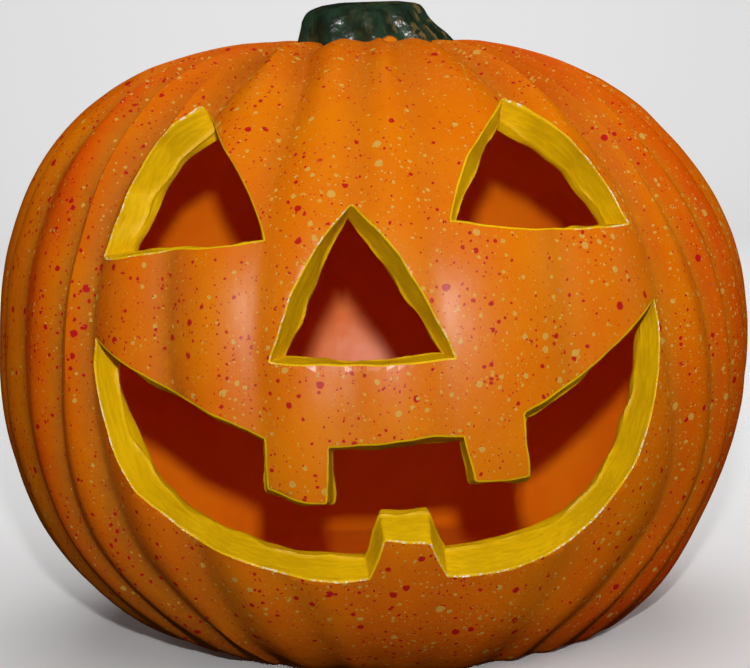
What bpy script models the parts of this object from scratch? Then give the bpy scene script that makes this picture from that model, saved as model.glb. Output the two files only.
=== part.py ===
"""Carved pumpkin lantern: a hollow moulded pumpkin with a face cut through its wall and a short ribbed stem.

Metres, +Z up, the face towards -Y. The origin is under the middle of the object, in the plane of its flat base.
Azimuth is measured round the pumpkin's axis from the front, positive towards +X. Latitude is measured from the
level of the body's centre, and is negative below it.
"""
import math
import random

import bmesh
import bpy
import numpy as np

MM = 0.001

# The body
CENTRE = np.array((2.1, 0.0, 102.0)) * MM
LATITUDE_STEP = 15.0
# Distance from the centre to the lobes, from the foot (-90 degrees) to the crown (90), every LATITUDE_STEP
RIGHT_RADII = np.array((104, 109, 126, 129.5, 126, 125, 123.5, 120.5, 115, 109, 103, 98, 96)) * MM
LEFT_RADII = np.array((104, 107, 121, 130, 133, 131, 128, 127, 124.5, 117, 107, 99, 96.5)) * MM
CROWN_DIP = 14.0 * MM
CROWN_DIP_RADIUS = 24.0 * MM
WALL = 15.0 * MM

# The creases between the lobes: azimuth at the crown, at eye level and at the foot, in degrees, and the depth
CREASES = (
    (-82, -64, -63, 2.0 * MM),
    (-68, -53.5, -55, 4.0 * MM),
    (-51, -45, -43, 4.5 * MM),
    (-37, -32, -31, 4.5 * MM),
    (-17, -17, -17, 3.0 * MM),
    (-1, -3.5, -5, 2.0 * MM),
    (8, 8, 10, 1.5 * MM),
    (31, 26, 29, 3.0 * MM),
    (52, 44, 49, 5.0 * MM),
    (71, 57, 60, 4.0 * MM),
    (84, 65, 67, 2.5 * MM),
)
BACK_CREASES = 16
BACK_CREASE_DEPTHS = (2.5 * MM, 4.5 * MM)
BACK_CREASE_WANDER = 1.8
CREASE_LEVELS = (75.0, 14.0, -45.0)
CREASE_SEED = 7
CREASE_FADE = 0.6
LOBE_ROUNDNESS = 0.5

# The face, seen from the front. Each row has a point of the opening's edge in the skin and the point of its
# inner edge behind it: x, z, x, z in millimetres, x from the pumpkin's axis and z from the base. Each run of
# rows is one smooth stretch, up to the first row of the next run, and the runs meet at corners.
LEFT_EYE = (
    ((-83, 135, -72.5, 136), (-77, 150.5, -67, 147), (-70.5, 163, -61, 156.5), (-61.5, 173.5, -54.5, 164)),
    ((-52, 178.5, -45.5, 169.5), (-46, 169, -43.5, 163), (-38, 155, -37.5, 152)),
    ((-33, 141, -33.5, 139), (-59.5, 138.5, -56, 137)),
)
RIGHT_EYE = (
    ((21, 145, 22.5, 143), (27, 162, 30, 157)),
    ((40, 178, 38, 168.5), (53.5, 170.5, 49, 161), (66, 157.5, 58.5, 151.5)),
    ((76.5, 139.5, 67.5, 138.5), (47.5, 141, 46, 138.5)),
)
NOSE = (
    ((-7.5, 150.5, -9, 145), (-17, 141, -15.5, 133), (-25.5, 126.5, -21.5, 120.5)),
    ((-33, 106.5, -28, 106.5), (-6, 105.5, -6, 105)),
    ((21.5, 106, 17, 106), (14.5, 121, 9.5, 118.5), (4.5, 138, 0.5, 132.5)),
)
MOUTH = (
    ((-86.5, 111, -80, 101.5), (-75, 103.5, -71.5, 97), (-58.5, 95, -57, 90)),
    ((-35, 84, -35.5, 80.5),),
    ((-35, 68.5, -35.5, 65), (-25.5, 65, -25.5, 61.5)),
    ((-18, 64.5, -16, 62),),
    ((-16.5, 81.5, -15, 78), (-1.5, 82, -1.5, 78.5), (13, 83.5, 13, 79.5)),
    ((23, 83, 22, 79.5),),
    ((26, 69, 24.5, 66), (34.5, 68.5, 34.5, 65)),
    ((42, 69.5, 42.5, 65.5),),
    ((41, 88.5, 41.5, 85), (55, 95.5, 54.5, 91), (69, 105.5, 66.5, 99.5)),
    (
        (83, 116.5, 78, 108), (84.5, 104, 76.5, 98), (82, 88, 73.5, 85), (76, 69.5, 67.5, 69.5),
        (65.5, 55, 58.5, 57), (51.5, 44, 46.5, 50), (33, 38.5, 31, 46.5),
    ),
    ((17, 38.5, 16.5, 46),),
    ((12.5, 50.5, 12, 59),),
    ((-1, 52, -2.5, 59.5),),
    (
        (-6, 39, -7.5, 45), (-18, 38.5, -19, 45.5), (-31.5, 41, -31, 47), (-46, 46, -43, 51),
        (-57.5, 51, -53, 55.5), (-68, 59.5, -62, 61.5), (-77, 67.5, -69, 70), (-83.5, 82, -75.5, 83),
        (-87, 99.5, -79.5, 96),
    ),
)
OUTLINE_STEP = 8.0
CORNER = 1.2
CUT_FRONT = -0.135
CUT_BEYOND = 0.5
FRONT_POINT_ROUNDS = 30

# The stem: height, radius and the shift of its middle to the side, from its root to its top
STEM_SECTIONS = (
    (176, 18, 0), (186, 26, 1), (192, 26.5, 1), (197, 24.5, 0), (200.5, 22.3, -1.4),
    (203.5, 20.8, -2.2), (205.8, 19.3, -1.8), (207.4, 16.5, -0.6), (208.5, 9.5, 0),
)
STEM_RIBS = 9
STEM_RIB_DEPTH = 0.045
STEM_TWIST = 0.12

# How finely the surfaces are faceted
COLUMNS_A_LOBE = 4
BODY_ROWS = 26
ROWS_UPWARDS = 0.035
ROWS_TO_ENDS = 0.02
CAVITY_COLUMNS = 48
CAVITY_ROWS = 16
COLUMNS_A_RIB = 4
SHARP_EDGE = math.radians(35)

ORANGE = (0.70, 0.19, 0.015, 1.0)
ROUGHNESS = 0.45


def through(values, place):
    """A smooth curve through evenly spaced values, level at both ends; place counts from the first value."""
    values = np.concatenate(([values[1]], values, [values[-2]]))
    first = np.clip(np.floor(place).astype(int), 0, len(values) - 4)
    t = place - first
    a, b, c, d = (values[first + k] for k in range(4))
    return b + 0.5 * t * (c - a + t * (2 * a - 5 * b + 4 * c - d + t * (3 * (b - c) + d - a)))


def all_creases():
    """The creases seen from the front, and evenly spaced ones with a little wander round the back."""
    draw = random.Random(CREASE_SEED)
    rows = list(CREASES)
    gap = [(360 + CREASES[0][k] - CREASES[-1][k]) / (BACK_CREASES + 1) for k in range(3)]
    for number in range(1, BACK_CREASES + 1):
        wander = draw.uniform(-BACK_CREASE_WANDER, BACK_CREASE_WANDER)
        turns = [CREASES[-1][k] + gap[k] * number + wander for k in range(3)]
        rows.append((*turns, draw.uniform(*BACK_CREASE_DEPTHS)))
    return np.array(rows)


CREASE_TABLE = all_creases()


def crease_azimuths(latitude):
    """Azimuth of every crease at a latitude, in degrees, with the first one repeated a full turn on."""
    crown, eye, foot = CREASE_LEVELS
    row = CREASE_TABLE
    up = np.clip((latitude - eye) / (crown - eye), 0, 1) ** 2
    down = np.clip((eye - latitude) / (eye - foot), 0, 1)
    turns = row[:, 1] + (row[:, 0] - row[:, 1]) * up + (row[:, 2] - row[:, 1]) * down
    return np.append(turns, turns[0] + 360)


def crease_depth(latitude, azimuth):
    """How far the skin lies below the crest of its lobe."""
    turns = crease_azimuths(latitude)
    azimuth = (azimuth - turns[0]) % 360 + turns[0]
    lobe = min(max(np.searchsorted(turns, azimuth + 1e-6) - 1, 0), len(turns) - 2)
    across = np.clip((azimuth - turns[lobe]) / (turns[lobe + 1] - turns[lobe]), 0, 1)
    depths = np.append(CREASE_TABLE[:, 3], CREASE_TABLE[0, 3])
    depth = depths[lobe] + (depths[lobe + 1] - depths[lobe]) * across
    fade = min(1.0, math.cos(math.radians(latitude)) / CREASE_FADE)
    return depth * fade * (1 - abs(math.sin(math.pi * across)) ** LOBE_ROUNDNESS)


def body_point(latitude, azimuth, inset=0.0):
    """A point on the body's creased skin, or on the smooth surface that lies inset metres inside its lobes."""
    place = np.float64((latitude + 90) / LATITUDE_STEP)
    left, right = through(LEFT_RADII, place), through(RIGHT_RADII, place)
    turn, rise = math.radians(azimuth), math.radians(latitude)
    radius = left + (right - left) * (1 + math.sin(turn)) / 2 - (inset or crease_depth(latitude, azimuth))
    reach = radius * math.cos(rise)
    height = radius * math.sin(rise)
    if latitude > 0:
        height -= CROWN_DIP * math.exp(-((reach / CROWN_DIP_RADIUS) ** 2))
    height = max(height, inset - CENTRE[2])
    return CENTRE + np.array((reach * math.sin(turn), -reach * math.cos(turn), height))


def front_point(x, z, inset=0.0):
    """The point on the front of the skin, or of the inner wall, that shows at x, z from the front."""
    side, rise = x * MM, z * MM - CENTRE[2]
    depth = 0.1
    for _ in range(FRONT_POINT_ROUNDS):
        azimuth = math.degrees(math.atan2(side, depth))
        latitude = math.degrees(math.atan2(rise, math.hypot(side, depth)))
        on_skin = body_point(latitude, azimuth, inset) - CENTRE
        depth += (math.sqrt(max(on_skin @ on_skin - side**2 - rise**2, 1e-6)) - depth) / 2
    return CENTRE + np.array((side, -depth, rise))


def run_points(rows, end):
    """Rows along one smooth stretch from its first row to the end, with both corners cut off a little."""
    rows = np.array((*rows, end), float)
    padded = np.vstack((2 * rows[0] - rows[1], rows, 2 * rows[-1] - rows[-2]))
    points = []
    for a, b, c, d in zip(padded, padded[1:], padded[2:], padded[3:]):
        steps = max(1, round(math.dist(b[:2], c[:2]) / OUTLINE_STEP))
        for t in np.arange(steps) / steps:
            points.append(b + 0.5 * t * (c - a + t * (2 * a - 5 * b + 4 * c - d + t * (3 * (b - c) + d - a))))
    points.append(rows[-1])
    for corner, beside in ((0, 1), (-1, -2)):
        way = points[beside] - points[corner]
        points[corner] = points[corner] + way * CORNER / math.hypot(*way[:2])
    return points


def opening_rows(runs):
    """All the rows round an opening."""
    rows = []
    for run, after in zip(runs, runs[1:] + runs[:1]):
        rows += run_points(run, after[0])
    return rows


def collection(name):
    """A new collection in the scene."""
    made = bpy.data.collections.new(name)
    bpy.context.scene.collection.children.link(made)
    return made


def add_object(name, bm, into):
    """An object with the finished mesh, with its faces turned outwards."""
    bmesh.ops.triangulate(bm, faces=bm.faces)
    bmesh.ops.recalc_face_normals(bm, faces=bm.faces)
    mesh = bpy.data.meshes.new(name)
    bm.to_mesh(mesh)
    bm.free()
    made = bpy.data.objects.new(name, mesh)
    into.objects.link(made)
    return made


def shaped_sphere(name, columns, rows, place, into):
    """A sphere whose points are moved to place(share of the way up, number of the column)."""
    bm = bmesh.new()
    bmesh.ops.create_uvsphere(bm, u_segments=columns, v_segments=rows, radius=1)
    for vert in bm.verts:
        up = math.asin(max(-1, min(1, vert.co.z))) / math.pi + 0.5
        column = round(math.atan2(vert.co.x, -vert.co.y) / math.tau * columns) % columns
        vert.co = place(up, column)
    return add_object(name, bm, into)


def body_skin(into):
    """The lobed outside, with a column of points on each crease and more rows near the crown."""
    lobes = len(CREASE_TABLE)

    def place(up, column):
        up += ROWS_UPWARDS * math.sin(math.pi * up) - ROWS_TO_ENDS * math.sin(math.tau * up)
        latitude = -90 + 180 * up
        lobe, part = divmod(column, COLUMNS_A_LOBE)
        turns = crease_azimuths(latitude)
        azimuth = turns[lobe] + (turns[lobe + 1] - turns[lobe]) * part / COLUMNS_A_LOBE
        return body_point(latitude, azimuth)

    return shaped_sphere("pumpkin_lantern", lobes * COLUMNS_A_LOBE, BODY_ROWS, place, into)


def cavity(into):
    """The smooth hollow inside the wall."""

    def place(up, column):
        return body_point(-90 + 180 * up, 360 * column / CAVITY_COLUMNS, WALL)

    return shaped_sphere("hollow", CAVITY_COLUMNS, CAVITY_ROWS, place, into)


def face_cutter(name, runs, into):
    """A plug from in front of the skin to a little way inside the hollow, through both edges of an opening."""
    bm = bmesh.new()
    rings = ([], [])
    for x, z, inner_x, inner_z in opening_rows(runs):
        outer, inner = front_point(x, z), front_point(inner_x, inner_z, WALL)
        way = inner - outer
        rings[0].append(bm.verts.new(outer + way * (CUT_FRONT - outer[1]) / way[1]))
        rings[1].append(bm.verts.new(inner + way * CUT_BEYOND))
    for k in range(len(rings[0])):
        bm.faces.new((rings[0][k - 1], rings[0][k], rings[1][k], rings[1][k - 1]))
    bm.faces.new(rings[0])
    bm.faces.new(rings[1])
    return add_object(name, bm, into)


def stem(into):
    """The ribbed stem, sunk into the crown."""
    columns = STEM_RIBS * COLUMNS_A_RIB
    rows = len(STEM_SECTIONS) + 1

    def place(up, column):
        level = min(max(round(up * rows) - 1, 0), len(STEM_SECTIONS) - 1)
        height, radius, shift = STEM_SECTIONS[level]
        turn = math.tau * column / columns
        radius *= 1 + STEM_RIB_DEPTH * math.cos(STEM_RIBS * (turn + STEM_TWIST * level))
        if up in (0.0, 1.0):
            radius = 0
        middle = CENTRE[0] / MM + shift
        return np.array((middle + radius * math.sin(turn), -radius * math.cos(turn), height)) * MM

    return shaped_sphere("stem", columns, rows, place, into)


def boolean(body, other, operation):
    """A live cut or join of the other object with the body."""
    modifier = body.modifiers.new(f"{operation.lower()} {other.name}", "BOOLEAN")
    modifier.operation = operation
    modifier.object = other
    modifier.solver = "EXACT"
    other.display_type = "WIRE"
    other.hide_render = True


def painted_material():
    """The satin orange paint of the body."""
    material = bpy.data.materials.new("orange paint")
    material.use_nodes = True
    shader = material.node_tree.nodes["Principled BSDF"]
    shader.inputs["Base Color"].default_value = ORANGE
    shader.inputs["Roughness"].default_value = ROUGHNESS
    return material


def main():
    for old in list(bpy.data.objects):
        bpy.data.objects.remove(old)
    lantern = collection("carved_pumpkin_lantern")
    cutters = collection("cutters")
    body = body_skin(lantern)
    boolean(body, stem(cutters), "UNION")
    boolean(body, cavity(cutters), "DIFFERENCE")
    for name, runs in (("left_eye", LEFT_EYE), ("right_eye", RIGHT_EYE), ("nose", NOSE), ("mouth", MOUTH)):
        boolean(body, face_cutter(name, runs, cutters), "DIFFERENCE")
    body.data.materials.append(painted_material())
    body.data.shade_smooth()
    body.data.set_sharp_from_angle(angle=SHARP_EDGE)


main()
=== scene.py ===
"""Looks of the carved pumpkin lantern: its painted shell with the cut face, and its ribbed stem.

Metres, +Z up, the face towards -Y. Azimuth is measured round the pumpkin's axis from the front, positive
towards +X. Latitude is measured from the level of the body's centre, and is negative below it.
"""
import math
import random

import bpy
import numpy as np
from mathutils import Matrix, Vector, noise


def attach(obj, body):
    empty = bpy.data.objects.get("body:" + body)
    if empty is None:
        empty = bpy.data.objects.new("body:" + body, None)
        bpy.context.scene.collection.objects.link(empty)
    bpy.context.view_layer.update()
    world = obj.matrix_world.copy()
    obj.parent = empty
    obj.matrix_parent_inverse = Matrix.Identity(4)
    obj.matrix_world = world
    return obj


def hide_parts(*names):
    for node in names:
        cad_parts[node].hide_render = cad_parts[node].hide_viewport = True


MM = 0.001

# The body
CENTRE = np.array((2.1, 0.0, 102.0)) * MM
MEAN_RADIUS = 0.125
MEAN_INSIDE_RADIUS = 0.11
LATITUDE_STEP = 15.0
RIGHT_RADII = np.array((104, 109, 126, 129.5, 126, 125, 123.5, 121, 116, 110.5, 103.5, 98, 96)) * MM
LEFT_RADII = np.array((104, 107, 121, 130, 133, 131, 128, 127, 124.5, 117.8, 107.3, 99, 96.5)) * MM
CROWN_DIP = 14.0 * MM
CROWN_DIP_RADIUS = 17.0 * MM
CROWN_LIFT = 1.8 * MM
CROWN_LIFT_OVER = (42.0, 62.0)
WALL = 15.0 * MM
SKIN_INSIDE_CAD = 0.55 * MM

# The creases between the lobes: azimuth every CREASE_STEP of latitude from CREASE_FOOT up, and then the depth
CREASES = (
    (-54, -62, -64.5, -66, -72, -88, 2.0 * MM),
    (-45, -54, -53.5, -53.5, -62, -80, 4.0 * MM),
    (-34, -43, -46, -46, -46.5, -58, 4.5 * MM),
    (-28, -30, -31, -33.5, -38, -50, 4.0 * MM),
    (-13, -17, -17, -17, -18, -31, 3.0 * MM),
    (-3, -4, -4, -3, -3, -2, 1.6 * MM),
    (8, 9, 8, 7.5, 9, 12, 1.6 * MM),
    (25, 31, 26.5, 28, 33, 39, 3.0 * MM),
    (36, 50, 46.5, 46, 48.5, 55, 4.0 * MM),
    (48, 61, 58.5, 53.5, 54, 66, 3.5 * MM),
    (60, 70, 65.5, 63, 64, 80, 2.5 * MM),
)
CREASE_FOOT = -50.0
CREASE_STEP = 25.0
BACK_CREASES = 16
BACK_CREASE_DEPTHS = (2.5 * MM, 4.5 * MM)
BACK_CREASE_WANDER = 1.8
CREASE_SEED = 7

# How the creases change over the body: they fade where the cosine of the latitude is below CREASE_FADE, are
# filled in a little, less so at the sides, are deeper on the crown, and shallower and softer near the foot.
# Ranges are degrees of azimuth or latitude.
CREASE_FADE = 0.6
CREASE_SOFT = (2.8 * MM, 2.2 * MM)
ASIDE = (20.0, 45.0)
HIGH_UP = (20.0, 50.0)
CROWN_DEEPER = 0.9
LOW_DOWN = (-12.0, -40.0)
FOOT_SHALLOWER = 0.4
FOOT_SOFTER = 2.4 * MM

# The soft unevenness of the moulded skin and of the inside: size of the lumps and how far they rise
SKIN_LUMPS = ((26.0 * MM, 0.42 * MM), (9.0 * MM, 0.16 * MM))
SKIN_LUMP_LIMIT = 0.1 * MM
INSIDE_LUMPS = ((20.0 * MM, 0.5 * MM), (7.0 * MM, 0.22 * MM))

# The face, seen from the front. Each row has a point of the opening's edge in the skin and the point of its
# inner edge behind it: x, z, x, z in millimetres, x from the pumpkin's axis and z from the base. Each run of
# rows is one smooth stretch, up to the first row of the next run, and the runs meet at corners.
LEFT_EYE = (
    ((-83, 135, -72.5, 136), (-77, 150.5, -67, 147), (-70.5, 163, -61, 156.5), (-61.5, 173.5, -54.5, 164)),
    ((-52, 178.5, -45.5, 169.5), (-46, 169, -43.5, 163), (-38, 155, -37.5, 152)),
    ((-33, 141, -33.5, 139), (-59.5, 138.5, -56, 137)),
)
RIGHT_EYE = (
    ((21, 145, 22.5, 143), (27, 162, 30, 157)),
    ((40, 178, 38, 168.5), (53.5, 170.5, 49, 161), (66, 157.5, 58.5, 151.5)),
    ((76.5, 139.5, 67.5, 138.5), (47.5, 141, 46, 138.5)),
)
NOSE = (
    ((-7.5, 150.5, -9, 145), (-17, 141, -15.5, 133), (-25.5, 126.5, -21.5, 120.5)),
    ((-33, 106.5, -28, 106.5), (-6, 105.5, -6, 105)),
    ((21.5, 106, 17, 106), (14.5, 121, 9.5, 118.5), (4.5, 138, 0.5, 132.5)),
)
MOUTH = (
    ((-86.5, 111, -80, 102.5), (-75, 103.5, -71.5, 98.2), (-58.5, 95, -57, 91)),
    ((-35, 84, -35.5, 81),),
    ((-35, 68.5, -35.5, 65), (-25.5, 65, -25.5, 61.5)),
    ((-18, 64.5, -16, 62),),
    ((-16.5, 81.5, -15, 78), (-1.5, 82, -1.5, 78.5), (13, 83.5, 13, 79.5)),
    ((23, 83, 22, 79.5),),
    ((26, 69, 24.5, 66), (34.5, 68.5, 34.5, 65)),
    ((42, 69.5, 42.5, 65.5),),
    ((41, 88.5, 41.5, 85), (55, 95.5, 54.5, 91), (69, 105.5, 66.5, 99.5)),
    (
        (83, 116.5, 78, 108), (84.5, 104, 76.5, 98), (82, 88, 73.5, 85), (76, 69.5, 67.5, 69.5),
        (65.5, 55, 58.5, 57), (51.5, 44, 46.5, 50), (33, 38.5, 31, 46.5),
    ),
    ((17, 38.5, 16.5, 46),),
    ((12.5, 50.5, 12, 59),),
    ((-1, 52, -2.5, 59.5),),
    (
        (-6, 39, -7.5, 45), (-18, 38.5, -19, 45.5), (-31.5, 41, -31, 47), (-46, 46, -43, 51),
        (-57.5, 51, -53, 55.5), (-68, 59.5, -62, 61.5), (-77, 67.5, -69, 70), (-83.5, 82, -75.5, 83),
        (-87, 99.5, -79.5, 96),
    ),
)

# How the openings' edges are drawn, in millimetres: the steps along them, what is cut off at a corner, and
# how far and over what length the outer and the inner edge wander
OUTLINE_STEP = 1.0
CORNER = 0.15
CORNER_ROUNDS = 1
EDGE_WANDER = (0.28, 7.0)
INNER_WANDER = (0.7, 9.0)
NOISE_TO_ONE = 1.6

# How the plugs are built: their ends before and behind the wall, and the share of a bend that may close up
CUT_FRONT = -0.135
CUT_BACK = -0.045
FOLD_LIMIT = 0.75
SIDE_ROUNDS = 3
FRONT_POINT_ROUNDS = 30

# The cut through the wall: its lip at the skin, its worn edge along the hollow with a ridge of thick paint,
# and how deep its rings of points lie behind the skin and behind the hollow
LIP = 0.6 * MM
LIP_SHIFT = 0.25 * MM
WORN_WIDTH = 2.6 * MM
WORN_DEPTH = 1.2 * MM
RIDGE_HEIGHT = 0.5 * MM
RIDGE_WIDTH = 0.45 * MM
STROKE_DEPTH = 0.08 * MM
STROKE_SIZE = (9.0 * MM, 0.8 * MM)
DAUB_SIZE = (5.0 * MM, 4.0 * MM)
NEAR_SKIN = np.array((-2.2, -0.9, -0.3, 0, 0.2, 0.4, 0.65, 1.0, 1.5)) * MM
NEAR_INSIDE = np.array(
    (-5.2, -4.6, -4.2, -3.8, -3.4, -3.0, -2.6, -2.2, -1.7, -1.2, -0.7, -0.2, 0.4, 1.4)
) * MM
RINGS_BETWEEN = 10

# Where bare white may show at the edge: on cut faces seen this many millimetres wide, and turned this far up
# or to the middle, towards the light, so that it is partly a painted highlight
NICKS_AND_HIGHLIGHTS_WIDE = (4.0, 7.0)
NICKS_AND_HIGHLIGHTS_TURNED = (0.2, 0.5)

# How finely the surfaces are meshed
COLUMNS_A_LOBE = 12
COLUMN_CROWDING = 0.62
ROW_LATITUDES = (-90.0, -70.0, -57.0, 74.0, 90.0)
ROW_COUNTS = (4, 7, 116, 10)
CAVITY_COLUMNS = 120
CAVITY_ROWS = 60

# Edges that turn by more than this many degrees stay sharp
SHELL_SHARP = 38
STEM_SHARP = 40

# The stem: height, radius and the shift of its middle to the side, from its root to its top
STEM_SECTIONS = (
    (176, 18, 0), (186, 25.3, 1.7), (192, 25.8, 1.7), (197, 23.8, 0.7), (200.5, 21.6, -0.7),
    (203.5, 20.1, -1.5), (205.8, 18.7, -1.2), (207.4, 16, -0.3), (208.5, 9.5, 0),
)
STEM_WIDEST = 27.0
STEM_LEAN = 5.0

# The camera
TARGET = Vector((0.0002, 0.0, 0.097))
CAMERA_DISTANCE = 0.85
CAMERA_RISE = math.radians(8)
CAMERA_ROLL = math.radians(2)
LENS = 120.85
SENSOR = 36.0

# The floor, which bends up into a wall behind, the sky's strength, and each light's place, aim, size, watts
# and whether it shows in glossy surfaces
FLOOR_LEVEL = -0.0004
FLOOR_REACH = 4.0
FLOOR_COLOR = (0.86, 0.86, 0.86, 1.0)
BEND_FROM = 1.2
BEND = 0.8
BEND_STEPS = 16
WALL_TOP = 3.0
SKY = 0.04
LIGHTS = (
    ("key", (0.012, -0.828, 0.314), (0, 0, 0.1), 0.025, 4.6, True),
    ("fill", (0.05, -0.7, 1.2), (0, 0, 0.1), 1.4, 4.4, False),
    ("left", (-1.2, 0.1, 0.6), (0, 0, 0.1), 0.8, 2.2, False),
    ("right", (1.2, 0.1, 0.6), (0, 0, 0.1), 0.8, 6.0, False),
    ("backdrop", (0, 0.9, 1.5), (0, 1.6, 0.1), 1.4, 22, False),
)


def srgb(red, green, blue):
    """A colour from its display values, 0 to 255, as linear values with full alpha."""
    shares = [v / 255 for v in (red, green, blue)]
    return (*[v / 12.92 if v <= 0.04045 else ((v + 0.055) / 1.055) ** 2.4 for v in shares], 1.0)


# The brown in the creases: its width, the depth that is fully brown, its share at the front and the share
# added at each side, how it widens low down, and the painted shade spread over the lobes there on the left
GROOVE_SPREAD = 4.5 * MM
GROOVE_FULL = 4.0 * MM
GROOVE_FRONT = 0.4
GROOVE_LEFT = 0.6
GROOVE_RIGHT = 0.2
FOOT_WIDER = 0.8
# Painted shade: brown spread over the lower lobes on the left
FOOT_SHADE = 0.5

# The airbrushed red: on each lobe that shows, on the others by chance, low down as red paint and painted
# shade, on the crown, and on the flank of each lobe, most of all on the first ones at the left
BLUSH_SEEN = (0.85, 0.35, 0.15, 0.05, 0.0, 0.0, 0.0, 0.05, 0.25, 0.5)
BLUSH_SEED = 5
BLUSH_RANGE = (0.3, 0.8)
# Red low down: airbrush and painted shade that darkens the foot
BLUSH_AND_SHADE_LOW = 0.5
BLUSH_AND_SHADE_LOW_OVER = (-18.0, -48.0)
BLUSH_HIGH = 0.2
BLUSH_HIGH_OVER = (35.0, 60.0)
FLANK = 0.2
FLANK_WIDTH = 0.13
LEFT_LOBES = 2
FLANK_LEFT = 0.9
FLANK_ASIDE = 0.3

# The paints
ORANGE = (0.72, 0.190, 0.0005, 1.0)
ORANGE_DEEP = (0.70, 0.155, 0.0005, 1.0)
# Airbrushed red, also the painted shade low down
ORANGE_RED_AND_LOW_SHADE = (0.66, 0.060, 0.0005, 1.0)
# Brown of the creases, also the painted shade over the lower lobes on the left
GROOVE_BROWN_AND_FOOT_SHADE = (0.24, 0.090, 0.012, 1.0)
SPOT_RED = (0.46, 0.004, 0.008, 1.0)
SPOT_OCHRE = (0.62, 0.36, 0.060, 1.0)
YELLOW = (0.81, 0.48, 0.0005, 1.0)
YELLOW_DEEP = (0.66, 0.385, 0.0005, 1.0)
# Bare white of worn edges, partly a painted highlight on lit faces
BARE_WHITE_AND_HIGHLIGHT = (0.80, 0.76, 0.66, 1.0)
INSIDE_ORANGE = (0.97, 0.230, 0.001, 1.0)
INSIDE_DEEP = (0.93, 0.190, 0.001, 1.0)
STEM_GREEN = srgb(36, 58, 40)
STEM_DARK = srgb(24, 38, 24)
STEM_BROWN = srgb(112, 92, 50)
STEM_BARE = (0.0085, -0.0245, 0.1938)
VARNISH_ROUGHNESS = 0.34

# The layers of spatter: distance between spots, the largest spot's radius, and the layer's own shift
SPATTER = (
    (4.7 * MM, 1.35 * MM, 30 * MM),
    (2.4 * MM, 0.78 * MM, 110 * MM),
    (1.5 * MM, 0.44 * MM, 230 * MM),
    (1.0 * MM, 0.25 * MM, 310 * MM),
)


class Value:
    """A number that varies over a surface or along a piece: a node's output, used in ordinary sums."""

    def __init__(self, tree, socket):
        self.tree, self.socket = tree, socket

    def math(self, operation, *values):
        node = self.tree.node("ShaderNodeMath", {"operation": operation}, dict(enumerate(values)))
        return Value(self.tree, node.outputs[0])

    def __add__(self, other):
        return self.math("ADD", self, other)

    def __sub__(self, other):
        return self.math("SUBTRACT", self, other)

    def __mul__(self, other):
        return self.math("MULTIPLY", self, other)

    def __pow__(self, other):
        return self.math("POWER", self, other)

    __radd__ = __add__
    __rmul__ = __mul__

    def ramp(self, low, high, start=0.0, end=1.0):
        """Goes smoothly from start to end as the value goes from low to high, and stays level beyond."""
        sockets = {0: self, 1: low, 2: high, 3: start, 4: end}
        node = self.tree.node("ShaderNodeMapRange", {"interpolation_type": "SMOOTHSTEP"}, sockets)
        return Value(self.tree, node.outputs[0])

    def curve(self, points):
        """The value put through a smooth curve of points."""
        node = self.tree.node("ShaderNodeFloatCurve", {"curve": points}, {"Value": self})
        return Value(self.tree, node.outputs[0])


class Tree:
    """A node tree whose nodes are all added in one way."""

    def __init__(self, tree):
        self.tree = tree

    def node(self, kind, settings=None, sockets=None):
        """A node of a kind, with its settings made first, and then the values or links of its sockets."""
        made = self.tree.nodes.new(kind)
        for name, value in (settings or {}).items():
            if name == "curve":
                line = made.mapping.curves[0].points
                while len(line) < len(value):
                    line.new(0.5, 0.5)
                for point, place in zip(line, value):
                    point.location = place
                made.mapping.update()
            else:
                setattr(made, name, value)
        for key, value in (sockets or {}).items():
            if isinstance(value, Value):
                value = value.socket
            if isinstance(value, bpy.types.NodeSocket):
                self.tree.links.new(value, made.inputs[key])
            else:
                made.inputs[key].default_value = value
        return made

    def value(self, kind, settings=None, sockets=None, output=0):
        """One of a new node's outputs, as a number."""
        return Value(self, self.node(kind, settings, sockets).outputs[output])

    def noise(self, place, size, detail=2.0):
        """Cloudy noise from 0 to 1 with lumps of a size."""
        return self.value("ShaderNodeTexNoise", {}, {"Vector": place, "Scale": 1 / size, "Detail": detail})

    def mix(self, low, high, amount):
        """One colour mixed into another by a share."""
        return self.node("ShaderNodeMix", {"data_type": "RGBA"}, {0: amount, 6: low, 7: high}).outputs[2]

    def moved(self, place, shift, size):
        """A place with a pattern's own shift and stretch."""
        return self.node("ShaderNodeMapping", {}, {0: place, 1: shift, 3: size}).outputs[0]

    def vector(self, operation, sockets):
        """The result of a sum with vectors."""
        return self.node("ShaderNodeVectorMath", {"operation": operation}, sockets).outputs[0]


class Paint(Tree):
    """A material whose nodes feed one Principled shader."""

    def __init__(self, name, roughness, shine=0.5):
        self.made = bpy.data.materials.new(name)
        self.made.use_nodes = True
        super().__init__(self.made.node_tree)
        self.shader = self.made.node_tree.nodes["Principled BSDF"]
        self.shader.inputs["Roughness"].default_value = roughness
        self.shader.inputs["Specular IOR Level"].default_value = shine
        self.place = self.node("ShaderNodeTexCoord").outputs["Object"]

    def attribute(self, name):
        """A number kept on the mesh."""
        return self.value("ShaderNodeAttribute", {"attribute_name": name}, {}, "Fac")

    def finish(self, color, roughness=None, height=None, coat=None):
        """Links the colour, roughness, relief in millimetres and varnish, and returns the material."""
        links = self.tree.links
        links.new(color, self.shader.inputs["Base Color"])
        if roughness:
            links.new(roughness.socket, self.shader.inputs["Roughness"])
        if coat:
            self.shader.inputs["Coat Roughness"].default_value = VARNISH_ROUGHNESS
            links.new(coat.socket, self.shader.inputs["Coat Weight"])
        if height:
            bump = self.node("ShaderNodeBump", {}, {"Strength": 1.0, "Distance": MM, "Height": height})
            links.new(bump.outputs[0], self.shader.inputs["Normal"])
        return self.made


def share(values, low, high):
    """From 0 at low to 1 at high, and level beyond."""
    return np.clip((values - low) / (high - low), 0, 1)


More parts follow.
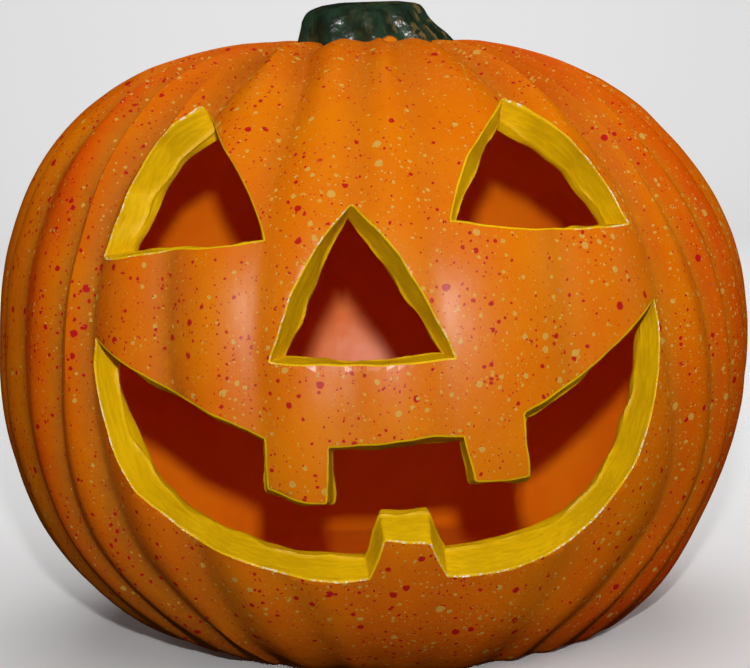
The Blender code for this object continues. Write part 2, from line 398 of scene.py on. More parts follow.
def on_curve(a, b, c, d, t):
    """A place on the smooth curve through a, b, c and d, t of the way from b to c."""
    return b + 0.5 * t * (c - a + t * (2 * a - 5 * b + 4 * c - d + t * (3 * (b - c) + d - a)))


def through(values, place):
    """A smooth curve through evenly spaced values, level at both ends; place counts from the first value."""
    values = np.concatenate(([values[1]], values, [values[-2]]))
    first = np.clip(np.floor(place).astype(int), 0, len(values) - 4)
    t = (place - first).reshape(-1, *[1] * (values.ndim - 1))
    return on_curve(*(values[first + k] for k in range(4)), t)


def all_creases():
    """The creases seen from the front, and evenly spaced ones with a little wander round the back."""
    draw = random.Random(CREASE_SEED)
    rows = list(CREASES)
    first, last = np.array(CREASES[0][:-1]), np.array(CREASES[-1][:-1])
    gap = (360 + first - last) / (BACK_CREASES + 1)
    for number in range(1, BACK_CREASES + 1):
        wander = draw.uniform(-BACK_CREASE_WANDER, BACK_CREASE_WANDER)
        rows.append((*(last + gap * number + wander), draw.uniform(*BACK_CREASE_DEPTHS)))
    return np.array(rows)


CREASE_TABLE = all_creases()


def crease_azimuths(latitude):
    """Azimuth of every crease at each latitude, in degrees, with the first one repeated a full turn on."""
    levels = CREASE_TABLE[:, :-1].T
    turns = through(levels, np.clip((latitude - CREASE_FOOT) / CREASE_STEP, 0, len(levels) - 1))
    return np.hstack((turns, turns[:, :1] + 360))


def in_lobes(latitude, azimuth):
    """Each point's lobe, its place across the lobe, the depth of the creases there and the lobe's width."""
    turns = crease_azimuths(latitude)
    azimuth = (azimuth - turns[:, 0]) % 360 + turns[:, 0]
    lobe = np.clip((azimuth[:, None] + 1e-6 >= turns).sum(1) - 1, 0, turns.shape[1] - 2)
    each = np.arange(len(lobe))
    low, high = turns[each, lobe], turns[each, lobe + 1]
    across = np.clip((azimuth - low) / (high - low), 0, 1)
    depths = np.append(CREASE_TABLE[:, -1], CREASE_TABLE[0, -1])
    fade = np.minimum(1.0, np.cos(np.radians(latitude)) / CREASE_FADE)
    fade = fade * (1 + CROWN_DEEPER * share(latitude, *HIGH_UP))
    fade = fade * (1 - FOOT_SHALLOWER * share(latitude, *LOW_DOWN))
    return lobe, across, (depths[lobe] + (depths[lobe + 1] - depths[lobe]) * across) * fade, high - low


def aside(azimuth):
    """From 0 on the front of the face to 1 at its sides and round the back."""
    return share(np.abs((azimuth + 180) % 360 - 180), *ASIDE)


def sunk(across, depth, width, azimuth, latitude):
    """How deep a rounded lobe's surface lies below its crest, with the creases a little filled in."""
    half = np.radians(width) / 2 * MEAN_RADIUS * np.cos(np.radians(latitude)).clip(0.2)
    soft = CREASE_SOFT[0] + (CREASE_SOFT[1] - CREASE_SOFT[0]) * aside(azimuth)
    soft = soft + FOOT_SOFTER * share(latitude, *LOW_DOWN)
    from_crease = np.minimum(across, 1 - across) * 2 * half
    filled = np.sqrt(from_crease**2 + soft**2) - soft
    return depth * (1 - (filled / half).clip(0, 1)) ** 2


def lumps(directions, sizes):
    """Soft unevenness in each direction from the centre, in metres."""
    rise = np.zeros(len(directions))
    for k, direction in enumerate(directions):
        for size, height in sizes:
            rise[k] += height * noise.noise(Vector(direction) / size)
    return rise


def body_points(latitude, azimuth, inset=0.0):
    """Points on the body's creased skin, or on the surface that lies inset metres inside its lobes."""
    place = (latitude + 90) / LATITUDE_STEP
    left, right = through(LEFT_RADII, place), through(RIGHT_RADII, place)
    turn, rise = np.radians(azimuth), np.radians(latitude)
    way = np.stack((np.cos(rise) * np.sin(turn), -np.cos(rise) * np.cos(turn), np.sin(rise)), 1)
    radius = left + (right - left) * (1 + np.sin(turn)) / 2
    if inset:
        radius = radius - inset - lumps(way * MEAN_INSIDE_RADIUS, INSIDE_LUMPS)
    else:
        _, across, depth, width = in_lobes(latitude, azimuth)
        radius = radius - sunk(across, depth, width, azimuth, latitude) - SKIN_INSIDE_CAD
        radius = radius + np.minimum(lumps(way * MEAN_RADIUS, SKIN_LUMPS), SKIN_LUMP_LIMIT)
        radius = radius + CROWN_LIFT * share(latitude, *CROWN_LIFT_OVER) * np.clip(np.cos(turn), 0, 1) ** 3
    reach, height = radius * np.cos(rise), radius * np.sin(rise)
    height = height - np.where(latitude > 0, CROWN_DIP * np.exp(-((reach / CROWN_DIP_RADIUS) ** 2)), 0)
    height = np.maximum(height, inset - CENTRE[2])
    return CENTRE + np.stack((reach * np.sin(turn), -reach * np.cos(turn), height), 1)


def front_points(x, z, inset=0.0):
    """The points on the front of the skin, or of the inner wall, that show at x, z from the front."""
    side, rise = x * MM, z * MM - CENTRE[2]
    depth = np.full(len(x), 0.1)
    for _ in range(FRONT_POINT_ROUNDS):
        azimuth = np.degrees(np.arctan2(side, depth))
        latitude = np.degrees(np.arctan2(rise, np.hypot(side, depth)))
        on_skin = body_points(latitude, azimuth, inset) - CENTRE
        depth = (depth + np.sqrt(np.maximum((on_skin**2).sum(1) - side**2 - rise**2, 1e-6))) / 2
    return CENTRE + np.stack((side, -depth, rise), 1)


def run_points(rows, end):
    """Rows along one smooth stretch from its first row to the end, with both corners cut off a little."""
    rows = np.array((*rows, end), float)
    padded = np.vstack((2 * rows[0] - rows[1], rows, 2 * rows[-1] - rows[-2]))
    points = []
    for a, b, c, d in zip(padded, padded[1:], padded[2:], padded[3:]):
        steps = max(1, round(math.dist(b[:2], c[:2]) / OUTLINE_STEP))
        for t in np.arange(steps) / steps:
            points.append(on_curve(a, b, c, d, t))
    points.append(rows[-1])
    for corner, beside in ((0, 1), (-1, -2)):
        way = points[beside] - points[corner]
        points[corner] = points[corner] + way * min(1, CORNER / math.hypot(*way[:2]))
    return points


def wander(along, size, seed):
    """A smooth number from about -1 to 1 along a line."""
    return np.array([noise.noise(Vector((a / size, seed, 0.5))) * NOISE_TO_ONE for a in along])


def opening_rows(runs, seed):
    """Rows round an opening, with rounded corners and edges that wander a little as they were cut by hand."""
    rows = []
    for run, after in zip(runs, runs[1:] + runs[:1]):
        rows += run_points(run, after[0])
    rows = np.array(rows)
    for _ in range(CORNER_ROUNDS):
        rows = (np.roll(rows, 1, 0) + 2 * rows + np.roll(rows, -1, 0)) / 4
    for first, (reach, size) in ((0, EDGE_WANDER), (2, INNER_WANDER)):
        edge = rows[:, first:first + 2]
        way = np.roll(edge, -1, 0) - np.roll(edge, 1, 0)
        across = np.stack((way[:, 1], -way[:, 0]), 1) / np.linalg.norm(way, axis=1)[:, None].clip(0.05)
        shift = [noise.noise(Vector((*point, seed + first)) / size) * NOISE_TO_ONE for point in edge]
        rows[:, first:first + 2] = edge + across * np.array(shift)[:, None] * reach
    return rows


def mesh_object(name, points, faces, slot):
    """An object of its own with the points and faces, with all its faces in one material slot."""
    mesh = bpy.data.meshes.new(name)
    mesh.from_pydata(points, [], faces)
    for layer in ("cut", "nicks"):
        mesh.uv_layers.new(name=layer)
    mesh.polygons.foreach_set("material_index", np.full(len(mesh.polygons), slot, np.int32))
    mesh.update()
    made = bpy.data.objects.new(name, mesh)
    bpy.context.scene.collection.objects.link(made)
    return made


def ring_faces(rings, columns):
    """Faces between rings of points, from the first ring to the last, turned outwards for rings that rise."""
    k, c = np.meshgrid(np.arange(rings - 1), np.arange(columns), indexing="ij")
    here, beside = k * columns + c, k * columns + (c + 1) % columns
    return np.stack((here, beside, beside + columns, here + columns), -1).reshape(-1, 4)


def capped_sphere(name, latitudes, azimuths, inset, slot):
    """A closed surface of the body from rows of azimuths, one row for each latitude between the two poles."""
    columns = azimuths.shape[1]
    rows = body_points(np.repeat(latitudes, columns), azimuths.ravel(), inset)
    poles = body_points(np.array((-90.0, 90.0)), np.zeros(2), inset)
    points = np.vstack((rows, poles))
    faces = ring_faces(len(latitudes), columns).tolist()
    last, count = (len(latitudes) - 1) * columns, len(rows)
    for c in range(columns):
        beside = (c + 1) % columns
        faces.append((beside, c, count))
        faces.append((last + c, last + beside, count + 1))
    return mesh_object(name, points.tolist(), faces, slot)


def skin():
    """The lobed outside, with its columns closest together along the creases."""
    latitudes = [ROW_LATITUDES[0]]
    for low, high, count in zip(ROW_LATITUDES, ROW_LATITUDES[1:], ROW_COUNTS):
        latitudes += list(low + (high - low) * np.arange(1, count + 1) / count)
    latitudes = np.array(latitudes[1:-1])
    turns = crease_azimuths(latitudes)
    part = np.arange(COLUMNS_A_LOBE) / COLUMNS_A_LOBE
    part = part - COLUMN_CROWDING * np.sin(math.tau * part) / math.tau
    azimuths = turns[:, :-1, None] + (turns[:, 1:] - turns[:, :-1])[:, :, None] * part
    return capped_sphere("pumpkin_shell", latitudes, azimuths.reshape(len(latitudes), -1), 0.0, 0)


def hollow():
    """The inside, a little uneven as it came from the mould."""
    latitudes = np.linspace(-90, 90, CAVITY_ROWS + 1)[1:-1]
    azimuths = np.tile(np.arange(CAVITY_COLUMNS) * 360 / CAVITY_COLUMNS, (len(latitudes), 1))
    return capped_sphere("hollow", latitudes, azimuths, WALL, 2)


def unit(vectors):
    """The vectors at length one."""
    return vectors / np.linalg.norm(vectors, axis=-1, keepdims=True)


def out_of_opening(middle, way):
    """The way out of the opening into the wall beside each row, and whether the rows run clockwise."""
    along_way = unit(np.roll(middle, -1, 0) - np.roll(middle, 1, 0))
    side = unit(np.cross(along_way, way))
    for _ in range(SIDE_ROUNDS):
        side = unit(np.roll(side, 1, 0) + 2 * side + np.roll(side, -1, 0))
    x, z = middle[:, 0], middle[:, 2]
    clockwise = (x * np.roll(z, -1) - np.roll(x, -1) * z).sum() <= 0
    return side * (1 if clockwise else -1), clockwise


def fold_limits(middle, side, step):
    """How far each row may be moved in and out before it would cross its neighbours."""
    along_way = unit(np.roll(middle, -1, 0) - np.roll(middle, 1, 0))
    curving = ((np.roll(side, -1, 0) - np.roll(side, 1, 0)) * along_way).sum(1) / (step + np.roll(step, 1))
    least = np.where(curving > 0, -FOLD_LIMIT / np.maximum(curving, 1), -1)
    return least, np.where(curving < 0, FOLD_LIMIT / np.maximum(-curving, 1), 1)


def ring_depths(length):
    """How deep the plug's rings lie at every row: close together at the skin and along the hollow."""
    depths = [np.full(len(length), t) for t in NEAR_SKIN]
    for t in np.linspace(0, 1, RINGS_BETWEEN + 2)[1:-1]:
        depths.append(NEAR_SKIN[-1] + (length + NEAR_INSIDE[0] - NEAR_SKIN[-1]) * t)
    return depths + [length + t for t in NEAR_INSIDE]


def cut_shifts(depths, length, along, seed):
    """How far each ring lies outside the straight cut: its lip, worn edge, ridge, brush strokes and daubs."""
    worn = WORN_WIDTH * (1 + 0.45 * wander(along, 11 * MM, seed + 11))
    worn_depth = WORN_DEPTH * (1 + 0.6 * wander(along, 14 * MM, seed + 23))
    ridge = RIDGE_HEIGHT * (0.7 + 0.9 * wander(along, 8 * MM, seed + 37)).clip(0, 1.5)
    shifts = []
    for depth in depths:
        left = length - depth
        lip = LIP * ((1 - depth / LIP).clip(0, 1) ** 2 + 0.3 * (-depth / LIP).clip(0))
        worn_share = ((worn - left) / worn).clip(0, 1.2)
        shift = lip - LIP_SHIFT * (1 - depth / (3 * LIP)).clip(0, 1)
        shift = shift + worn_depth * (worn_share**1.5 - 0.3 * (1 - left / (2 * worn)).clip(0, 1))
        shift = shift - ridge * np.exp(-(((left - worn * 1.15) / RIDGE_WIDTH) ** 2))
        for k, (a, d) in enumerate(zip(along, depth)):
            stroke = noise.noise(Vector((a / STROKE_SIZE[0], d / STROKE_SIZE[1], seed)))
            daub = noise.noise(Vector((a / DAUB_SIZE[0], d / DAUB_SIZE[1], seed + 5.5)))
            shift[k] += STROKE_DEPTH * (stroke + 1.5 * daub) * min(max(d / LIP, 0), 1)
        shifts.append(shift)
    return shifts


def nick_and_highlight_shares(rows, middle, side):
    """Bare white at each row, partly a painted highlight: on wide cut faces turned up or to the middle,
    towards the light.
    """
    wide = np.hypot(*(rows[:, 2:] - rows[:, :2]).T)
    # Only faces turned up or to the middle, towards the light: partly a painted highlight
    turned = np.maximum(side[:, 0] * np.sign(middle[:, 0]), -side[:, 2])
    return share(wide, *NICKS_AND_HIGHLIGHTS_WIDE) * share(turned, *NICKS_AND_HIGHLIGHTS_TURNED)


def carried_on(ring, depth):
    """A ring carried on along its lines from the body's centre, to a depth."""
    way = ring - CENTRE
    return CENTRE + way * (depth / way[:, 1])[:, None]


def face_cutter(name, runs, seed):
    """A plug with the shape of an opening and of the worn, painted edges that it leaves in the wall."""
    rows = opening_rows(runs, seed)
    outer = front_points(rows[:, 0], rows[:, 1])
    inner = front_points(rows[:, 2], rows[:, 3], WALL)
    middle, way, length = (outer + inner) / 2, unit(inner - outer), np.linalg.norm(inner - outer, axis=1)
    side, clockwise = out_of_opening(middle, way)
    step = np.linalg.norm(np.roll(middle, -1, 0) - middle, axis=1)
    along = np.concatenate(([0], np.cumsum(step)[:-1]))
    limits = fold_limits(middle, side, step)

    rings, marks = [], []
    depths = ring_depths(length)
    for depth, shift in zip(depths, cut_shifts(depths, length, along, seed)):
        rings.append(outer + way * depth[:, None] + side * np.clip(shift, *limits)[:, None])
        marks.append(np.stack((along, depth), 1))
    rings = [carried_on(rings[0], CUT_FRONT), *rings, carried_on(rings[-1], CUT_BACK)]
    marks = np.vstack((marks[0], *marks, marks[-1]))
    count = len(rows)
    faces = ring_faces(len(rings), count).tolist()
    faces.append(list(range(count))[::-1])
    faces.append([(len(rings) - 1) * count + k for k in range(count)])
    made = mesh_object(name, np.vstack(rings).tolist(), faces, 1)

    corner = np.zeros(len(made.data.loops), np.int32)
    made.data.loops.foreach_get("vertex_index", corner)
    nicks = np.tile(nick_and_highlight_shares(rows, middle, side), len(rings))
    for layer, values in (("cut", marks), ("nicks", np.stack((nicks, np.zeros(len(nicks))), 1))):
        made.data.uv_layers[layer].data.foreach_set("uv", values[corner].astype(np.float32).ravel())
    if not clockwise:
        made.data.flip_normals()
    return made


def cut_away(body, cutters):
    """Cuts the hollow and the openings out of the body, and returns the finished mesh."""
    for cutter in cutters:
        modifier = body.modifiers.new(cutter.name, "BOOLEAN")
        modifier.operation, modifier.object, modifier.solver = "DIFFERENCE", cutter, "MANIFOLD"
    bpy.context.view_layer.update()
    mesh = bpy.data.meshes.new_from_object(body.evaluated_get(bpy.context.evaluated_depsgraph_get()))
    for old in (*cutters, body):
        bpy.data.objects.remove(old)
    return mesh


def mark_skin(mesh):
    """Keeps how deep each point lies in a crease, with painted shade low on the left, and its red, partly
    painted shade low down.
    """
    places = np.zeros(len(mesh.vertices) * 3, np.float32)
    mesh.vertices.foreach_get("co", places)
    places = places.reshape(-1, 3).astype(float) - CENTRE
    azimuth = np.degrees(np.arctan2(places[:, 0], -places[:, 1]))
    latitude = np.degrees(np.arctan2(places[:, 2], np.hypot(places[:, 0], places[:, 1])))
    lobe, across, depth, width = in_lobes(latitude, azimuth)
    reach = np.hypot(places[:, 0], places[:, 1])
    from_crease = np.minimum(across, 1 - across) * np.radians(width) * reach
    low_down = share(latitude, *LOW_DOWN)
    spread = GROOVE_SPREAD * (1 + FOOT_WIDER * low_down)
    groove = np.exp(-((from_crease / spread) ** 2)) * np.clip(depth / GROOVE_FULL, 0, 1)
    groove = groove * (GROOVE_FRONT + np.where(azimuth < 0, GROOVE_LEFT, GROOVE_RIGHT) * aside(azimuth))
    # Painted shade: brown over the lower lobes on the left
    groove = groove + FOOT_SHADE * low_down * (azimuth < 0) * aside(azimuth)
    draw = random.Random(BLUSH_SEED)
    strength = np.array([draw.uniform(*BLUSH_RANGE) for _ in range(len(CREASE_TABLE))])
    strength[:len(BLUSH_SEEN)] = BLUSH_SEEN
    # Low down the red is also painted shade, darker towards the foot
    ends = BLUSH_AND_SHADE_LOW * share(latitude, *BLUSH_AND_SHADE_LOW_OVER) + BLUSH_HIGH * share(latitude, *BLUSH_HIGH_OVER)
    flank = np.exp(-(((across - FLANK) / FLANK_WIDTH) ** 2))
    flank = flank * np.where(lobe < LEFT_LOBES, FLANK_LEFT, FLANK_ASIDE * aside(azimuth))
    blush = strength[lobe] * np.sin(math.pi * across) ** 0.7 * (1 - groove) + ends + flank
    for name, values in (("groove", groove), ("blush", np.clip(blush, 0, 1))):
        layer = mesh.attributes.new(name, "FLOAT", "POINT")
        layer.data.foreach_set("value", values.astype(np.float32))


def spatter(paint, color, place):
    """Spots of red and ochre paint in a few sizes over a colour, with more of the red ones to the left."""
    cloud = paint.noise(paint.place, 35 * MM)
    bent = paint.node("ShaderNodeTexNoise", {}, {"Vector": place, "Scale": 1 / (1.6 * MM), "Detail": 1.0})
    bent = paint.vector("SUBTRACT", {0: bent.outputs["Color"], 1: (0.5,) * 3})
    bent = paint.vector("SCALE", {0: bent, "Scale": 0.9 * MM})
    place = paint.vector("ADD", {0: place, 1: bent})
    side = paint.value("ShaderNodeSeparateXYZ", {}, {0: paint.place}) * 2.2
    for cell, radius, offset in SPATTER:
        moved = paint.moved(place, (offset, 0, 0), (1, 1, 1))
        spots = paint.node("ShaderNodeTexVoronoi", {}, {"Vector": moved, "Scale": 1 / cell})
        pick = paint.node("ShaderNodeSeparateColor", {}, {0: spots.outputs["Color"]})
        size, hue = Value(paint, pick.outputs[0]), Value(paint, pick.outputs[1])
        away = Value(paint, spots.outputs["Distance"]) * cell
        reach = (0.25 + 0.75 * size ** 1.6) * radius * cloud.ramp(0.3, 0.6, 0.75, 1.05)
        mask = (reach - away).ramp(-0.06 * MM, 0.12 * MM)
        red = (hue - side).ramp(0.46, 0.48)
        spot = paint.mix(SPOT_OCHRE, SPOT_RED, red)
        color = paint.mix(color, spot, mask * (0.86 + 0.09 * red))
    return color


def skin_paint():
    """Orange paint: redder airbrushing, brown in the creases, painted shade low down, spatter, and a thin
    varnish on the front.
    """
    paint = Paint("orange_skin_paint", 0.35, shine=0.08)
    groove, blush = paint.attribute("groove"), paint.attribute("blush")
    cloud = paint.noise(paint.place, 30 * MM, 3.0)
    fine = paint.noise(paint.place, 3.5 * MM, 3.0)
    color = paint.mix(ORANGE, ORANGE_DEEP, (cloud + 0.25 * fine).ramp(0.42, 0.78))
    # Airbrushed red, which low down is also painted shade
    color = paint.mix(color, ORANGE_RED_AND_LOW_SHADE, blush * cloud.ramp(0.25, 0.6, 0.55, 1.0))
    # Brown in the creases, with painted shade over the lower lobes on the left
    color = paint.mix(color, GROOVE_BROWN_AND_FOOT_SHADE, groove * fine.ramp(0.2, 0.8, 0.42, 0.62))
    color = spatter(paint, color, paint.place)
    grain = paint.noise(paint.place, 0.9 * MM, 2.0)
    waves = paint.noise(paint.moved(paint.place, (0, 0, 0), (1, 1, 0.3)), 4.0 * MM, 2.0)
    roughness = 0.27 + 0.14 * waves + 0.15 * groove
    height = 0.03 * grain + 0.16 * waves
    front = paint.value("ShaderNodeSeparateXYZ", {}, {0: paint.place}, 1).ramp(-80 * MM, -105 * MM)
    level = paint.value("ShaderNodeSeparateXYZ", {}, {0: paint.place}, 2).ramp(150 * MM, 125 * MM)
    return paint.finish(color, roughness, height, front * level * waves.ramp(0.3, 0.6, 0.6, 1.0))


def cut_paint():
    """Thick yellow paint brushed on the cut faces, with bare white nicks along the sharp outer edge, partly
    painted highlight.
    """
    paint = Paint("yellow_cut_paint", 0.42, shine=0.2)
    marks = paint.node("ShaderNodeUVMap", {"uv_map": "cut"}).outputs[0]
    depth = paint.value("ShaderNodeSeparateXYZ", {}, {0: marks}, 1)
    cloud = paint.noise(paint.place, 22 * MM, 2.0)
    stroke = paint.noise(paint.moved(marks, (0, 0, 0), (0.22, 0.9, 1)), 1.0 * MM, 3.0)
    color = paint.mix(YELLOW, YELLOW_DEEP, (0.5 * cloud + 0.5 * stroke).ramp(0.38, 0.62))
    # Bare white nicks at the outer edge, on lit faces only: worn paint and painted highlight
    nick_and_highlight = depth.ramp(0.45 * MM, 0.15 * MM) * paint.noise(paint.place, 1.1 * MM, 1.0).ramp(0.51, 0.58)
    nick_and_highlight = nick_and_highlight * paint.noise(paint.place, 16 * MM, 1.0).ramp(0.38, 0.5)
    edges = paint.node("ShaderNodeUVMap", {"uv_map": "nicks"}).outputs[0]
    nick_and_highlight = nick_and_highlight * paint.value("ShaderNodeSeparateXYZ", {}, {0: edges})
    color = paint.mix(color, BARE_WHITE_AND_HIGHLIGHT, nick_and_highlight)
    return paint.finish(color, 0.42 + 0.14 * stroke, 0.09 * stroke)


def inside_paint():
    """The bare orange inside, soft and a little glossy."""
    paint = Paint("orange_inside", 0.45)
    cloud = paint.noise(paint.place, 25 * MM, 2.0)
    waves = paint.noise(paint.place, 8 * MM, 2.0)
    color = paint.mix(INSIDE_ORANGE, INSIDE_DEEP, cloud.ramp(0.35, 0.7))
    return paint.finish(color, 0.38 + 0.1 * waves, 0.25 * waves)


def stem_paint():
    """Dark green paint with brown and ochre dry brushing down the ribs."""
    paint = Paint("green_stem_paint", 0.3, shine=0.8)
    cloud = paint.noise(paint.place, 6 * MM, 3.0)
    color = paint.mix(STEM_GREEN, STEM_DARK, cloud.ramp(0.4, 0.6))
    dry = paint.noise(paint.moved(paint.place, (0, -0.7, 0), (1, 1, 0.25)), 2.0 * MM, 3.0).ramp(0.5, 0.62)
    patch = paint.noise(paint.place, 12 * MM, 1.0).ramp(0.35, 0.55)
    side = paint.value("ShaderNodeSeparateXYZ", {}, {0: paint.place}).ramp(-6 * MM, 10 * MM, 0.15, 0.9)
    color = paint.mix(color, STEM_BROWN, dry * patch * side)
    bare = {0: paint.place, 1: STEM_BARE}
    bare = paint.value("ShaderNodeVectorMath", {"operation": "DISTANCE"}, bare, "Value") + 3 * MM * cloud
    color = paint.mix(color, ORANGE, bare.ramp(5.5 * MM, 4.5 * MM))
    return paint.finish(color, 0.22 + 0.25 * cloud, 1.5 * cloud)


def new_socket(group, name, kind, direction="INPUT"):
    """A named socket of a node group."""
    return group.interface.new_socket(name, in_out=direction, socket_type=f"NodeSocket{kind}")


def ribbed_stem(material):
    """The stem by rule: a tube whose radius and lean follow curves, with ribs that fade towards its top."""
    group = bpy.data.node_groups.new("ribbed stem", "GeometryNodeTree")
    inputs = {
        "Ribs": ("Int", 9), "Columns": ("Int", 144), "Rows": ("Int", 44), "Rib Depth": ("Float", 0.075),
        "Rib Twist": ("Float", 1.6), "Widest Radius": ("Float", STEM_WIDEST * MM),
        "Lean": ("Float", STEM_LEAN * MM), "Forward": ("Float", 2.5 * MM),
        "Lump Height": ("Float", 1.2 * MM), "Material": ("Material", material),
    }
    sockets = {name: new_socket(group, name, kind) for name, (kind, _) in inputs.items()}
    new_socket(group, "Geometry", "Geometry", "OUTPUT")
    tree = Tree(group)
    given = tree.node("NodeGroupInput")
    get = {name: Value(tree, given.outputs[name]) for name in inputs}
    low, high = STEM_SECTIONS[0][0] * MM, STEM_SECTIONS[-1][0] * MM
    tube = tree.node(
        "GeometryNodeMeshCylinder", {"fill_type": "TRIANGLE_FAN"},
        {
            "Vertices": get["Columns"], "Side Segments": get["Rows"], "Fill Segments": 6,
            "Radius": 1.0, "Depth": 1.0,
        },
    )
    place = tree.node("ShaderNodeSeparateXYZ", {}, {0: tree.node("GeometryNodeInputPosition").outputs[0]})
    x, y, level = (Value(tree, place.outputs[k]) for k in range(3))
    level = level + 0.5
    parts = [(section[0] * MM - low) / (high - low) for section in STEM_SECTIONS]
    radii = [(part, section[1] / STEM_WIDEST) for part, section in zip(parts, STEM_SECTIONS)]
    leans = [(part, 0.5 + section[2] / (2 * STEM_LEAN)) for part, section in zip(parts, STEM_SECTIONS)]
    radius = level.curve(radii) * get["Widest Radius"]
    lean = (level.curve(leans) - 0.5) * get["Lean"] * 2
    turn = x.math("ARCTAN2", y, x)
    out = (x * x + y * y) ** 0.5
    phase = turn * get["Ribs"] + get["Rib Twist"] * level
    fade = level.ramp(0.45, 1.0, 1.0, 0.55)
    radius = radius * (1 + get["Rib Depth"] * fade * out * phase.math("COSINE", phase))
    height = level * (high - low) + low
    forward = level.ramp(0.4, 0.9) * get["Forward"]
    spot = {0: x * radius + lean + CENTRE[0], 1: y * radius - forward, 2: height}
    spot = tree.node("ShaderNodeCombineXYZ", {}, spot).outputs[0]
    shape = {"Geometry": tube.outputs[0], "Position": spot}
    shape = tree.node("GeometryNodeSetPosition", {}, shape).outputs[0]
    bumps = tree.noise(spot, 7 * MM)
    normal = tree.node("GeometryNodeInputNormal").outputs[0]
    push = tree.vector("SCALE", {0: normal, "Scale": (bumps - 0.62) * get["Lump Height"]})
    shape = tree.node("GeometryNodeSetPosition", {}, {"Geometry": shape, "Offset": push}).outputs[0]
    shape = tree.node("GeometryNodeRealizeInstances", {}, {"Geometry": shape}).outputs[0]
    painted = {"Geometry": shape, "Material": given.outputs["Material"]}
    painted = tree.node("GeometryNodeSetMaterial", {}, painted).outputs[0]
    tree.node("NodeGroupOutput", {}, {"Geometry": painted})

    carrier = bpy.data.objects.new("stem carrier", bpy.data.meshes.new("stem carrier"))
    bpy.context.scene.collection.objects.link(carrier)
    modifier = carrier.modifiers.new("ribbed stem", "NODES")
    modifier.node_group = group
    for name, (_, value) in inputs.items():
        modifier[sockets[name].identifier] = value
    bpy.context.view_layer.update()
    mesh = bpy.data.meshes.new_from_object(carrier.evaluated_get(bpy.context.evaluated_depsgraph_get()))
    bpy.data.objects.remove(carrier)
    return finished("pumpkin_stem", mesh, STEM_SHARP)


def finished(name, mesh, sharp):
    """A finished piece of the object, smooth but for edges sharper than an angle in degrees."""
    mesh.name = name
    mesh.shade_smooth()
    mesh.set_sharp_from_angle(angle=math.radians(sharp))
    piece = bpy.data.objects.new(name, mesh)
    bpy.context.scene.collection.objects.link(piece)
    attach(piece, "root")
    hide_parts("pumpkin_lantern")
    return piece


def shell():
    """The hollow pumpkin with its cut face."""
    body = skin()
    for material in (skin_paint(), cut_paint(), inside_paint()):
        body.data.materials.append(material)
    cutters = [hollow()]
    openings = (("left_eye", LEFT_EYE), ("right_eye", RIGHT_EYE), ("nose", NOSE), ("mouth", MOUTH))
    for seed, (name, runs) in enumerate(openings):
        cutters.append(face_cutter(name, runs, 10.0 * seed + 3.3))
    mesh = cut_away(body, cutters)
    mark_skin(mesh)
    return finished("pumpkin_shell", mesh, SHELL_SHARP)


def camera():
    """A camera at the height, distance and slight turn that the object is seen from."""
    data = bpy.data.cameras.new("camera")
    data.lens, data.sensor_width = LENS, SENSOR
    made = bpy.data.objects.new("camera", data)
    bpy.context.scene.collection.objects.link(made)
    ahead = Vector((0, math.cos(CAMERA_RISE), -math.sin(CAMERA_RISE)))
    up = Vector((0, math.sin(CAMERA_RISE), math.cos(CAMERA_RISE)))
    right = Vector((1, 0, 0))
    right, up = (
        right * math.cos(CAMERA_ROLL) - up * math.sin(CAMERA_ROLL),
        right * math.sin(CAMERA_ROLL) + up * math.cos(CAMERA_ROLL),
    )
    turn = Matrix((right, up, -ahead)).transposed().to_4x4()
    made.matrix_world = Matrix.Translation(TARGET - ahead * CAMERA_DISTANCE) @ turn
    bpy.context.scene.camera = made


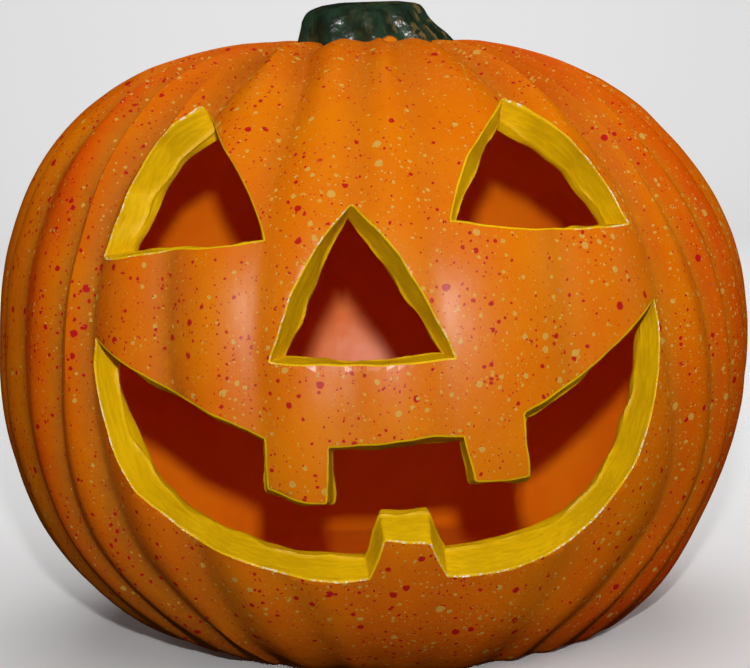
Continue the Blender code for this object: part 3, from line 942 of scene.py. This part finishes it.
def light(name, place, aim, size, power, mirrored):
    """A square soft light that faces a point, and shows or doesn't show in glossy surfaces."""
    data = bpy.data.lights.new(name, "AREA")
    data.size, data.energy = size, power
    made = bpy.data.objects.new(name, data)
    made.visible_glossy = mirrored
    bpy.context.scene.collection.objects.link(made)
    place, aim = Vector(place), Vector(aim)
    turn = (aim - place).to_track_quat("-Z", "Y").to_matrix().to_4x4()
    made.matrix_world = Matrix.Translation(place) @ turn


def pale_floor():
    """A plain pale floor that bends up into a wall."""
    turns = [math.pi / 2 * k / BEND_STEPS for k in range(BEND_STEPS + 1)]
    line = [(-FLOOR_REACH, FLOOR_LEVEL)]
    line += [(BEND_FROM + BEND * math.sin(t), FLOOR_LEVEL + BEND * (1 - math.cos(t))) for t in turns]
    line.append((BEND_FROM + BEND, WALL_TOP))
    points = [(x, y, z) for y, z in line for x in (-FLOOR_REACH, FLOOR_REACH)]
    mesh = bpy.data.meshes.new("floor")
    mesh.from_pydata(points, [], [(2 * k, 2 * k + 1, 2 * k + 3, 2 * k + 2) for k in range(len(line) - 1)])
    mesh.shade_smooth()
    floor = bpy.data.objects.new("floor", mesh)
    bpy.context.scene.collection.objects.link(floor)
    floor.visible_glossy = floor.visible_diffuse = False
    paint = Paint("pale_floor", 0.8)
    paint.shader.inputs["Base Color"].default_value = FLOOR_COLOR
    mesh.materials.append(paint.made)


def sky():
    """A faint white sky, which doesn't show in glossy surfaces."""
    world = bpy.data.worlds.new("soft sky")
    bpy.context.scene.world = world
    world.use_nodes = True
    background = world.node_tree.nodes["Background"]
    background.inputs["Color"].default_value = (1, 1, 1, 1)
    background.inputs["Strength"].default_value = SKY
    world.cycles_visibility.glossy = False


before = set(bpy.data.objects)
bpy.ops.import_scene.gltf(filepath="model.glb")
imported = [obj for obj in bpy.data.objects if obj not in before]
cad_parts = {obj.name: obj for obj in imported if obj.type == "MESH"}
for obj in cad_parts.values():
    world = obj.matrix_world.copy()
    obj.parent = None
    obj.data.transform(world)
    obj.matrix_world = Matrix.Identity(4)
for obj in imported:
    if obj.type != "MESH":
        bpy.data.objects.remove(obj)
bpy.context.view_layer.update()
shell()
ribbed_stem(stem_paint())
camera()
pale_floor()
sky()
for lamp in LIGHTS:
    light(*lamp)
bpy.context.scene.view_settings.view_transform = "Standard"
